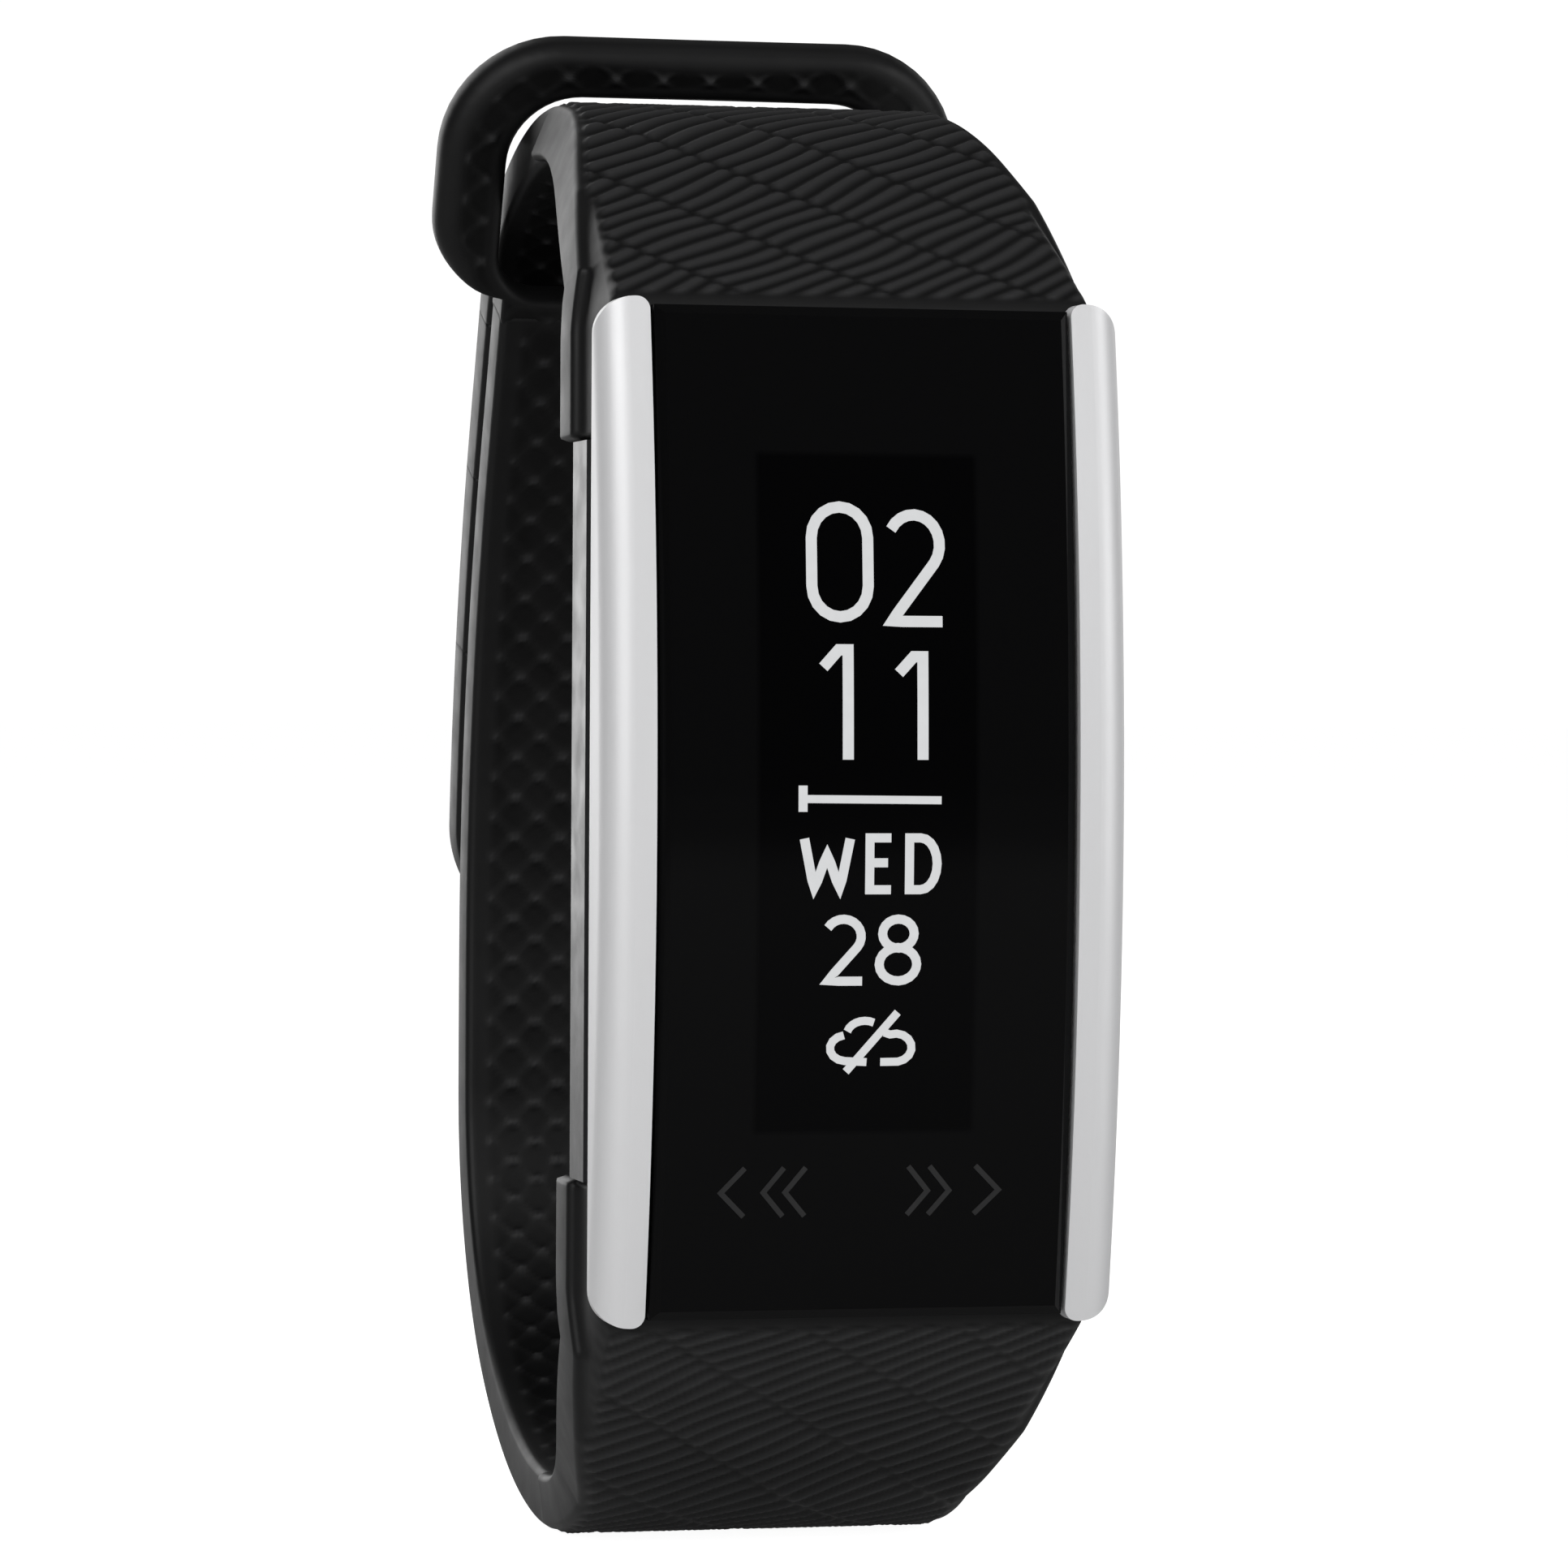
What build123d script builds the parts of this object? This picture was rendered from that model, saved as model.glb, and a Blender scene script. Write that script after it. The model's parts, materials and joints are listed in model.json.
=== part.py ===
from build123d import *
import os
from math import cos, degrees, radians, sin

# Lengths in mm. Depth is measured back from the front of the lens: +X across the band,
# +Y from the display to the buckle side, +Z up along the display.
# export_node() moves every piece so that the origin is the middle of the wrist opening.
OPENING_DEPTH = 21.0        # depth of the middle of the wrist opening

# display module
LENS_LENGTH = 38.0
LENS_WIDTH = 16.0
LENS_BULGE = 1.52           # how far the lens ends fall behind its middle
LENS_BACK = 2.8
TAPE = 0.1
TRIM_INNER = 8.15           # inner and outer half width of the silver trims
TRIM_OUTER = 10.15
TRIM_LENGTH = 38.6
TRIM_BULGE = 1.8
SEAT = LENS_BACK + TAPE     # depth of the housing's front face
CASE_WIDTH = 20.0
CASE_REAR_WIDTH = 17.8      # the case sides slope in to this width at the back
CASE_SLOPE = 7.1            # depth where that slope starts
CASE_LENGTH = 28.0
CASE_BACK = 9.4
TONGUE_WIDTH = 15.2
TONGUE_LENGTH = 37.4
GROOVE_END = 4.5            # the shadow groove under the trims ends here
GROOVE = 0.4
CAVITY_WIDTH = 16.4
CAVITY_LENGTH = 25.2
BOARD_FRONT = 4.75
BOARD = 0.6
COVER = 1.1
COVER_WIDTH = 17.4
COVER_LENGTH = 26.4
SCREW_X = 7.2
SCREW_Z = 11.6
SCREW = 1.0
OLED_WIDTH = 11.5
OLED_LENGTH = 30.0
OLED_Z = 0.8
OLED = 1.45

# straps
THICK = 2.2
STRAP_WIDTH = 16.0
ROOT_WIDTH = 20.0           # strap width where it meets the module
FILL_WIDTH = 19.0           # the narrower filling in front of the strap root
CHEEK_FRONT = 6.2           # the cheeks beside the case start at this depth
ROOT_JOIN = 10.2            # the filling runs out into the strap at this length
TAPER_RISE = 8.4            # height over which the strap narrows
CREST_RADIUS = 17.2         # bend of the upper strap just before its highest point
TAIL_GAP = 0.7              # air between the tail and the strap under it
REAR_DEPTH = 41.2           # centre line of the strap's rearmost stretch
REAR_LOW = -12.5            # the rear stretch starts and ends at these heights
REAR_HIGH = -7.8
REAR_RADIUS = 56.0
LEAN = 24.0                 # the slotted head leans this much towards the display
HEAD_TOP = 18.2             # straight length from the rear bend to the head's end
TAIL_STRAIGHT = 5.0
CHEEK_Z = 14.1              # strap cheeks run beside the case from this height

# slotted head
HEAD_WIDTH = 22.1
HEAD_LENGTH = 11.2
HEAD_CORNER = 5.0
HEAD_HEEL = 3.4
SLOT_WIDTH = 16.5
SLOT_BAR = 2.3
SLOT_TOP_CORNER = 3.0
SLOT_FOOT_CORNER = 2.0

# fastening stud, tail and cross pins
STUD_ANGLE = 6.0            # position of the stud above the rearmost point
NECK = 1.9
STUD_HEAD = 2.5
STUD_CAP = 5.6
HOLE_WIDTH = 3.2
HOLE_LENGTH = 4.6
HOLE_PITCH = 6.4
HOLES_ABOVE = 2
HOLES_BELOW = 4
TAIL_CUT = 0.1
TAIL_CORNER = 5.0
PIN = 1.5
PIN_Z = 16.4
PIN_DEPTH = 7.0

# vibration motor
MOTOR = 3.0
MOTOR_Z = 9.2
MOTOR_DEPTH = 7.6
SHAFT = 0.6


def two_arcs(dy, dz, first, middle, last):
    """Two tangent arcs, as (length, turn) pieces, that cover the step (dy, dz)."""
    a, b, c = radians(first), radians(middle), radians(last)
    ay, by = sin(b) - sin(a), sin(c) - sin(b)
    az, bz = cos(a) - cos(b), cos(b) - cos(c)
    spread = ay * bz - by * az
    radius_a = (dy * bz - by * dz) / spread
    radius_b = (ay * dz - dy * az) / spread
    return [(radius_a * (b - a), middle - first), (radius_b * (c - b), last - middle)]


def bend(radius, turn):
    """One arc of the strap's centre line as a (length, turn) piece."""
    return abs(radius * radians(turn)), turn


def station(path, s):
    """Depth, height and heading (radians) of a strap's centre line at length s."""
    y, z, heading = path[0]
    for length, turn in path[1]:
        step = min(s, length)
        angle = radians(turn) * step / length
        if turn:
            radius = step / angle if angle else 0.0
            y += radius * (sin(heading + angle) - sin(heading))
            z += radius * (cos(heading) - cos(heading + angle))
        else:
            y += step * cos(heading)
            z += step * sin(heading)
        heading += angle
        s -= step
    return y, z, heading


def length_of(pieces):
    return sum(length for length, turn in pieces)


def lower_path():
    """From the module's lower end round the wrist to the end of the slotted head."""
    start = (6.34, -18.39, radians(-50.0))
    front = [bend(48.9, 11.0), bend(14.9, 39.0)]
    y, z, heading = station((start, front), length_of(front))
    back = two_arcs(REAR_DEPTH - y, REAR_LOW - z, 0.0, 36.0, 90.0)
    rise = [(REAR_HIGH - REAR_LOW, 0.0), bend(REAR_RADIUS, LEAN), (HEAD_TOP, 0.0)]
    return start, front + back + rise


def upper_path():
    """From the module's upper end through the slot and down behind the lower strap."""
    start = (6.29, 18.34, radians(46.0))
    front = [bend(40.0, -14.0), bend(CREST_RADIUS, -32.0)]
    y, z, heading = station((start, front), length_of(front))
    lean = radians(LEAN)
    offset = THICK + TAIL_GAP
    tail_y = REAR_DEPTH - REAR_RADIUS * (1 - cos(lean)) + offset * cos(lean) - TAIL_STRAIGHT * sin(lean)
    tail_z = REAR_HIGH + REAR_RADIUS * sin(lean) + offset * sin(lean) + TAIL_STRAIGHT * cos(lean)
    hook = two_arcs(tail_y - y, tail_z - z, 0.0, -25.0, LEAN - 90.0)
    tail = [(TAIL_STRAIGHT, 0.0), bend(REAR_RADIUS + offset, 1.4 - LEAN)]
    return start, front + hook + tail


LOWER = lower_path()
UPPER = upper_path()
TAIL_END = length_of(UPPER[1])
HEAD_END = length_of(LOWER[1])
STUD_S = TAIL_END - (REAR_RADIUS + THICK + TAIL_GAP) * radians(STUD_ANGLE - 1.4)
STUD_HOLE_S = length_of(LOWER[1][:5]) + REAR_RADIUS * radians(STUD_ANGLE)
TAIL_START = TAIL_END - 25.0
TAIL_JOINTS = [TAIL_START, TAIL_START + 8.2, TAIL_START + 16.0]


def edge_point(path, s, side):
    """A point on the strap's surface, side * THICK / 2 to the left of the centre line."""
    y, z, heading = station(path, s)
    return y - side * THICK / 2 * sin(heading), z + side * THICK / 2 * cos(heading)


def surface(path, start, end, side):
    """One surface of the strap between two lengths, as tangent lines and arcs."""
    edges = []
    reached = 0.0
    for length, turn in path[1]:
        a, b = max(start, reached), min(end, reached + length)
        reached += length
        if b - a < 1e-6:
            continue
        points = [edge_point(path, s, side) for s in (a, (a + b) / 2, b)]
        if turn:
            edges.append(ThreePointArc(*points))
        else:
            edges.append(Line(points[0], points[2]))
    return edges


def ribbon(path, start, end, width):
    """A length of strap of constant width, centred on X = 0."""
    ends = [Line(edge_point(path, s, -1), edge_point(path, s, 1)) for s in (start, end)]
    outline = surface(path, start, end, 1) + surface(path, start, end, -1) + ends
    return extrude(Plane.YZ * make_face(Wire(outline)), width / 2, both=True)


def slab(x, y0, y1, z0, z1):
    """A block x wide and centred on X = 0, between two depths and two heights."""
    return Pos(0, (y0 + y1) / 2, (z0 + z1) / 2) * Box(x, y1 - y0, z1 - z0)


def front_prism(outline, y0, y1):
    """A front-view outline pushed through from depth y0 to y1."""
    return extrude(Plane((0, y1, 0), x_dir=(1, 0, 0), z_dir=(0, -1, 0)) * outline, y1 - y0)


def rounded_plate(width, length, radius, y0, y1, z=0.0):
    return Pos(0, 0, z) * front_prism(RectangleRounded(width, length, radius), y0, y1)


def rod(diameter, length, x, y, z):
    """A round bar along X, centred at x."""
    return Pos(x, y, z) * Rot(0, 90, 0) * Cylinder(diameter / 2, length)


def post(diameter, x, y0, y1, z):
    """A round bar along the depth axis."""
    return Pos(x, (y0 + y1) / 2, z) * Rot(90, 0, 0) * Cylinder(diameter / 2, y1 - y0)


def bulged_block(width, length, bulge, nose, back):
    """A block whose front follows a shallow arc along its length."""
    half = length / 2
    front = ThreePointArc((nose + bulge, -half), (nose, 0), (nose + bulge, half))
    sides = Polyline((nose + bulge, half), (back, half), (back, -half), (nose + bulge, -half))
    return extrude(Plane.YZ * make_face(Wire([front] + sides.edges())), width / 2, both=True)


def lens():
    body = bulged_block(LENS_WIDTH, LENS_LENGTH, LENS_BULGE, 0.0, LENS_BACK)
    rim = body.faces().sort_by(Axis.Y)[0].edges()
    return chamfer(rim, 0.35)


def trim(side):
    """A silver side trim with a rounded outer shoulder and rounded ends."""
    width = TRIM_OUTER - TRIM_INNER
    body = bulged_block(width, TRIM_LENGTH, TRIM_BULGE, 0.1, SEAT)
    ridge = body.edges().filter_by(GeomType.CIRCLE).sort_by(Axis.X)[-1]
    body = fillet(ridge, 1.2)
    plan = Rectangle(width, TRIM_LENGTH)
    plan = fillet(plan.vertices().group_by(Axis.X)[-1], 1.4)
    plan = fillet(plan.vertices().group_by(Axis.X)[0], 0.5)
    body &= front_prism(plan, -1.0, SEAT)
    body = Pos((TRIM_INNER + TRIM_OUTER) / 2, 0, 0) * body
    return body if side > 0 else mirror(body, Plane.YZ)


def corners(x, z):
    return [(sx * x, sz * z) for sx in (-1, 1) for sz in (-1, 1)]


def housing():
    """Moulded case: side walls, two end tongues for the strap pins, and screw posts."""
    half, rear = CASE_WIDTH / 2, CASE_REAR_WIDTH / 2
    section = Polyline((-half, GROOVE_END), (half, GROOVE_END), (half, CASE_SLOPE), (rear, CASE_BACK),
                       (-rear, CASE_BACK), (-half, CASE_SLOPE), (-half, GROOVE_END))
    walls = extrude(make_face(section), CASE_LENGTH / 2, both=True)
    neck = slab(CASE_WIDTH - 2 * GROOVE, SEAT, GROOVE_END, -CASE_LENGTH / 2, CASE_LENGTH / 2)
    tongue = slab(TONGUE_WIDTH, SEAT, CASE_BACK, -TONGUE_LENGTH / 2, TONGUE_LENGTH / 2)
    body = walls + neck + tongue
    body -= slab(OLED_WIDTH + 0.6, SEAT, BOARD_FRONT, OLED_Z - 15.3, OLED_Z + 15.3)
    body -= slab(CAVITY_WIDTH, BOARD_FRONT - 0.1, CASE_BACK, -CAVITY_LENGTH / 2, CAVITY_LENGTH / 2)
    for x, z in corners(SCREW_X, SCREW_Z):
        body += post(2.6, x, BOARD_FRONT + BOARD, CASE_BACK, z)
        body -= post(SCREW, x, CASE_BACK - 3.2, CASE_BACK, z)
    for z in (-PIN_Z, PIN_Z):
        body -= rod(PIN, CASE_WIDTH, 0, PIN_DEPTH, z)
    body -= gasket()
    return body - slab(10.0, SEAT, SEAT + 0.2, -17.6, -15.0)


def gasket():
    """Sealing ring pressed between the housing and the back cover."""
    ring = RectangleRounded(COVER_WIDTH - 0.2, COVER_LENGTH - 0.2, 1.0)
    hole = RectangleRounded(CAVITY_WIDTH + 0.2, CAVITY_LENGTH + 0.2, 0.8)
    return front_prism(ring - hole, CASE_BACK - 0.4, CASE_BACK)


def back_cover():
    body = rounded_plate(COVER_WIDTH, COVER_LENGTH, 2.0, CASE_BACK, CASE_BACK + COVER)
    rim = body.faces().sort_by(Axis.Y)[-1].edges()
    body = fillet(rim, 0.5)
    body -= sensor_window()
    body -= charge_contacts()
    for x, z in corners(SCREW_X, SCREW_Z):
        body -= screw(x, z)
    return body


def sensor_window():
    """Clear window that stands a little proud of the back cover."""
    flush = rounded_plate(8.0, 8.0, 2.5, CASE_BACK - 0.2, CASE_BACK + COVER + 0.3)
    return fillet(flush.faces().sort_by(Axis.Y)[-1].edges(), 0.25)


def charge_contacts():
    spots = [(-3.0, -10.0), (3.0, -10.0)]
    return Compound([post(1.8, x, CASE_BACK - 0.4, CASE_BACK + COVER, z) for x, z in spots])


def screw(x, z):
    """Countersunk cover screw with a cross recess left to the finish."""
    shank = post(SCREW, x, CASE_BACK - 3.0, CASE_BACK + COVER - 0.5, z)
    head = post(2.0, x, CASE_BACK + COVER - 0.55, CASE_BACK + COVER - 0.05, z)
    slot = Pos(x, CASE_BACK + COVER, z) * Box(1.4, 0.5, 0.3)
    return shank + head - slot


def case_screws():
    return Compound([screw(x, z) for x, z in corners(SCREW_X, SCREW_Z)])


def oled_panel():
    glass = slab(OLED_WIDTH, SEAT, SEAT + OLED - 0.7, OLED_Z - OLED_LENGTH / 2, OLED_Z + OLED_LENGTH / 2)
    step = slab(OLED_WIDTH, SEAT + OLED - 0.7, SEAT + OLED, OLED_Z - OLED_LENGTH / 2 + 3.0,
                OLED_Z + OLED_LENGTH / 2)
    return glass + step


def lens_tape():
    """Black adhesive frame that bonds the lens and masks the display edge."""
    frame = Rectangle(LENS_WIDTH - 0.4, LENS_LENGTH - 1.0)
    window = Pos(0, OLED_Z) * Rectangle(8.4, 25.4)
    return front_prism(frame - window, LENS_BACK, SEAT)


def touch_electrode():
    return slab(9.8, SEAT, SEAT + 0.2, -17.5, -15.1)


def display_connector():
    return slab(7.0, SEAT + OLED, BOARD_FRONT, -9.0, -6.0)


def main_board():
    half = CAVITY_LENGTH / 2 - 0.2
    body = slab(CAVITY_WIDTH - 0.4, BOARD_FRONT, BOARD_FRONT + BOARD, -half, half)
    for z in (-4.0, 4.0):
        for side in (-1, 1):
            body -= post(1.2, side * (CAVITY_WIDTH / 2 - 0.2), BOARD_FRONT, BOARD_FRONT + BOARD, z)
    return body


def board_chips():
    """Processor, radio, memory, motion sensor and charger on the board's rear face."""
    back = BOARD_FRONT + BOARD
    sizes = [(0.0, 9.4, 4.6, 4.6), (-4.9, 7.0, 2.4, 2.0), (4.7, 7.2, 2.2, 2.4), (-4.4, 11.0, 1.6, 1.6)]
    chips = [Pos(x, back + 0.35, z) * Box(w, 0.7, h) for x, z, w, h in sizes]
    return Compound(chips)


def battery():
    body = slab(10.8, BOARD_FRONT + BOARD, 7.9, -12.2, 5.4)
    return fillet(body.edges().filter_by(Axis.Z), 0.7)


def sensor_board():
    return slab(8.6, 7.9, 8.4, -4.3, 4.3)


def sensor_leds():
    return Compound([Pos(0, 8.65, z) * Box(1.6, 0.5, 1.2) for z in (-2.6, 2.6)])


def photodiode():
    return slab(2.6, 8.4, 8.9, -1.2, 1.2)


def motor_holder():
    """Rubber saddle that holds the motor against the back cover."""
    body = slab(3.0, MOTOR_DEPTH - 0.2, CASE_BACK, MOTOR_Z - 2.1, MOTOR_Z + 2.1)
    return Pos(-3.4, 0, 0) * (body - rod(MOTOR, 3.0, 0, MOTOR_DEPTH, MOTOR_Z))


def motor_can():
    return rod(MOTOR, 5.4, -2.7, MOTOR_DEPTH, MOTOR_Z) - rod(SHAFT + 0.1, 5.0, -0.4, MOTOR_DEPTH, MOTOR_Z)


def motor_rotor():
    """Shaft with the off-centre weight that makes the buzz."""
    shaft = rod(SHAFT, 4.6, 0.5, MOTOR_DEPTH, MOTOR_Z)
    disc = rod(2.8, 2.2, 1.6, MOTOR_DEPTH, MOTOR_Z)
    half = slab(10, MOTOR_DEPTH - 2, MOTOR_DEPTH + 2, MOTOR_Z - 2, MOTOR_Z + 0.1)
    return shaft + (disc & half)


def cross_pin(z):
    return rod(PIN, 2 * 8.9, 0, PIN_DEPTH, z)


def taper(z_sign):
    """Front-view outline of a strap's root, narrowing away from the module."""
    half, narrow = ROOT_WIDTH / 2, STRAP_WIDTH / 2
    foot = TRIM_LENGTH / 2
    right = [(half, z_sign * CHEEK_Z), (half, z_sign * foot)]
    waist = 0.68 * half + 0.32 * narrow
    flank = Spline((half, z_sign * foot), (waist, z_sign * (foot + 0.5 * TAPER_RISE)),
                   (narrow, z_sign * (foot + TAPER_RISE)))
    end = (narrow, z_sign * 34.0)
    outline = Line(*right) + flank + Line(flank @ 1, end) + Line(end, (0, z_sign * 34.0))
    outline += Line((0, z_sign * 34.0), (0, z_sign * CHEEK_Z)) + Line((0, z_sign * CHEEK_Z), right[0])
    half_face = make_face(outline)
    return half_face + mirror(half_face, Plane.YZ)


def root_block(path, z_sign):
    """Solid strap root that fills up to the lens end and wraps the case tongue."""
    reach = edge_point(path, ROOT_JOIN, z_sign)
    under = edge_point(path, 3.5, -z_sign)
    front = (SEAT + 0.15, z_sign * (LENS_LENGTH / 2 + 0.3))
    low = (SEAT + 0.15, z_sign * CHEEK_Z)
    back_low = (CASE_BACK + 0.6, z_sign * CHEEK_Z)
    back_high = (CASE_BACK + 0.6, z_sign * (CHEEK_Z + 4.0))
    middle = edge_point(path, 4.2, 0)
    outline = Polyline(low, front, reach, middle, under, back_high, back_low, low)
    body = extrude(Plane.YZ * make_face(outline), FILL_WIDTH / 2, both=True)
    cheek_low = (CHEEK_FRONT, z_sign * CHEEK_Z)
    start = edge_point(path, 0.0, 0)
    cheeks = Polyline(cheek_low, start, middle, under, back_high, back_low, cheek_low)
    body += extrude(Plane.YZ * make_face(cheeks), ROOT_WIDTH / 2, both=True)
    reach_z = TONGUE_LENGTH / 2 + 0.1
    pocket = slab(TONGUE_WIDTH + 0.2, 0, CASE_BACK + 0.1, min(0, z_sign * reach_z), max(0, z_sign * reach_z))
    body -= pocket
    return body - rod(PIN, 2 * 8.9, 0, PIN_DEPTH, z_sign * PIN_Z)


def rooted_strap(path, z_sign, end):
    """Root block and tapering ribbon as one moulding, up to the given length."""
    body = ribbon(path, 0.0, end, ROOT_WIDTH) + root_block(path, z_sign)
    body &= front_prism(taper(z_sign), -1.0, 60.0)
    pocket_z = z_sign * (TONGUE_LENGTH / 2 + 0.1)
    inside = slab(TONGUE_WIDTH + 0.2, 0, CASE_BACK + 0.1, min(0, pocket_z), max(0, pocket_z))
    return body - inside


def upper_strap():
    """Upper strap over the wrist, through the slot and down to where the tail starts."""
    top = length_of(UPPER[1][:2])
    front = rooted_strap(UPPER, 1, top)
    return front + ribbon(UPPER, top, TAIL_START, STRAP_WIDTH)


def tail(index):
    """One length of the tail; the last one carries the stud and has a rounded end."""
    start = TAIL_JOINTS[index] + TAIL_CUT
    last = index == len(TAIL_JOINTS) - 1
    end = TAIL_END if last else TAIL_JOINTS[index + 1]
    body = ribbon(UPPER, start, end, STRAP_WIDTH)
    if last:
        reach = 40.0
        low = station(UPPER, TAIL_END)[1]
        rounded = RectangleRounded(STRAP_WIDTH, reach, TAIL_CORNER)
        body &= front_prism(Pos(0, low + reach / 2) * rounded, 30.0, 50.0)
        body -= stud_pin()
    return body


def along(path, s, side):
    """Plane on the strap's surface whose normal points out of that surface."""
    y, z = edge_point(path, s, side)
    heading = station(path, s)[2] + side * radians(90)
    return Plane((0, y, z), x_dir=(1, 0, 0), z_dir=(0, cos(heading), sin(heading)))


def stud_pin():
    """Turned stud: shank through the tail, neck and rounded head for the strap hole."""
    outer = along(UPPER, STUD_S, 1)
    neck = outer * Pos(0, 0, -(THICK + TAIL_GAP + 1.5) / 2) * Cylinder(NECK / 2, THICK + TAIL_GAP + 1.5)
    flange = outer * Pos(0, 0, -THICK - 0.15) * Cylinder(2.0, 0.3)
    head = outer * Pos(0, 0, -THICK - TAIL_GAP - 1.5) * Cylinder(STUD_HEAD / 2, 1.0)
    head = fillet(head.edges().filter_by(GeomType.CIRCLE), 0.4)
    return neck + flange + head


def stud_cap():
    """Domed outer button riveted over the stud's shank."""
    outer = along(UPPER, STUD_S, 1)
    disc = outer * Pos(0, 0, 0.35) * Cylinder(STUD_CAP / 2, 0.7)
    rim = disc.faces().sort_by(Axis.Y)[-1].edges()
    return fillet(rim, 0.45)


def strap_hole(s):
    """Oval fastening hole cutter through the lower strap."""
    plane = along(LOWER, s, -1)
    return extrude(plane * SlotOverall(HOLE_LENGTH, HOLE_WIDTH, rotation=90), THICK + 1, both=True)


def head_outline():
    """Slotted head seen square on; its end is at the sketch origin."""
    half = HEAD_WIDTH / 2
    block = Pos(0, -HEAD_LENGTH / 2) * Rectangle(HEAD_WIDTH, HEAD_LENGTH)
    tops = block.vertices().group_by(Axis.Y)[-1]
    block = fillet(tops, HEAD_CORNER)
    heels = block.vertices().group_by(Axis.Y)[0]
    block = fillet(heels, HEAD_HEEL)
    stem = Pos(0, -HEAD_LENGTH) * Rectangle(STRAP_WIDTH, HEAD_LENGTH)
    return block + stem if half > STRAP_WIDTH / 2 else stem


def lower_strap():
    """Lower strap with its hole row, ending in the wide slotted head."""
    top = length_of(LOWER[1][:2])
    body = rooted_strap(LOWER, -1, top)
    body += ribbon(LOWER, top, HEAD_END - HEAD_LENGTH, STRAP_WIDTH)
    y, z, heading = station(LOWER, HEAD_END)
    plate = Plane((0, y, z), x_dir=(-1, 0, 0), z_dir=(0, sin(heading), -cos(heading)))
    body += extrude(plate * head_outline(), THICK / 2, both=True)
    slot_length = HEAD_LENGTH - SLOT_BAR
    slot = Pos(0, -SLOT_BAR - slot_length / 2) * Rectangle(SLOT_WIDTH, slot_length)
    slot = fillet(slot.vertices().group_by(Axis.Y)[-1], SLOT_TOP_CORNER)
    slot = fillet(slot.vertices().group_by(Axis.Y)[0], SLOT_FOOT_CORNER)
    body -= extrude(plate * slot, THICK, both=True)
    for step in range(-HOLES_BELOW, HOLES_ABOVE + 1):
        body -= strap_hole(STUD_HOLE_S + step * HOLE_PITCH)
    return body


def export_node(name, shape):
    export_step(Pos(0, -OPENING_DEPTH, 0) * shape, f"parts/{name}.step")


os.makedirs("parts", exist_ok=True)
NODES = {
    "lens": lens(),
    "trim_left": trim(-1),
    "trim_right": trim(1),
    "housing": housing(),
    "gasket": gasket(),
    "back_cover": back_cover(),
    "case_screws": case_screws(),
    "sensor_window": sensor_window(),
    "charge_contacts": charge_contacts(),
    "oled_panel": oled_panel(),
    "lens_tape": lens_tape(),
    "touch_electrode": touch_electrode(),
    "display_connector": display_connector(),
    "main_board": main_board(),
    "board_chips": board_chips(),
    "battery": battery(),
    "sensor_board": sensor_board(),
    "sensor_leds": sensor_leds(),
    "photodiode": photodiode(),
    "motor_holder": motor_holder(),
    "motor_can": motor_can(),
    "motor_rotor": motor_rotor(),
    "upper_pin": cross_pin(PIN_Z),
    "lower_pin": cross_pin(-PIN_Z),
    "upper_strap": upper_strap(),
    "lower_strap": lower_strap(),
    "tail_root": tail(0),
    "tail_middle": tail(1),
    "tail_tip": tail(2),
    "stud_pin": stud_pin(),
    "stud_cap": stud_cap(),
}
for node_name, node_shape in NODES.items():
    export_node(node_name, node_shape)

for number, s in enumerate(TAIL_JOINTS):
    y, z = edge_point(UPPER, s, 1)
    heading = degrees(station(UPPER, s)[2])
    print(f"tail joint {number}: y {y - OPENING_DEPTH:.3f} z {z:.3f} heading {heading:.2f}")
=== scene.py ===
import json
from math import cos, pi, radians, sin, sqrt

import bpy
import bmesh
import numpy as np
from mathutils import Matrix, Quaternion, Vector


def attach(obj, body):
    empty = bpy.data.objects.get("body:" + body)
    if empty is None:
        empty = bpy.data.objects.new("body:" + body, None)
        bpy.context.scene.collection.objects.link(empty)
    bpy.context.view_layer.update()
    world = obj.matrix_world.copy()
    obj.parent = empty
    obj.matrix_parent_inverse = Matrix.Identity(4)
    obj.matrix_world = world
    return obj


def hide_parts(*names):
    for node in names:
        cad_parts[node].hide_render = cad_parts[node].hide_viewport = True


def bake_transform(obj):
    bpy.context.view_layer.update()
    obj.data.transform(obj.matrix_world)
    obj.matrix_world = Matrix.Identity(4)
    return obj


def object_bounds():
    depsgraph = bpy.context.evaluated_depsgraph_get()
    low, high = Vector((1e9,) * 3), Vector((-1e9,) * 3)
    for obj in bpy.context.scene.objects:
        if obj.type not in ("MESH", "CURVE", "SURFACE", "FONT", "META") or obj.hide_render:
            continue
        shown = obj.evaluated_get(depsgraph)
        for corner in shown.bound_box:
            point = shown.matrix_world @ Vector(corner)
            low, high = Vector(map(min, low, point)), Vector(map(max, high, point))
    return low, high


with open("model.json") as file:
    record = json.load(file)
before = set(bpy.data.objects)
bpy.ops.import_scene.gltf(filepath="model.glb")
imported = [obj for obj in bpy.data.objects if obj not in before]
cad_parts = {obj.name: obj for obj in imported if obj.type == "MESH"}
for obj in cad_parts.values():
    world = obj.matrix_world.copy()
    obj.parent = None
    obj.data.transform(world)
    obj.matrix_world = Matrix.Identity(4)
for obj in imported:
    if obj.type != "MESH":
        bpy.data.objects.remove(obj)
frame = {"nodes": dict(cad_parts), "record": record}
cad_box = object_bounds()
nodes = frame["nodes"]

# Lengths in mm. Depth is measured back from the front of the lens, as in the CAD model.
MM = 0.001
OPENING_DEPTH = 21.0

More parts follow.
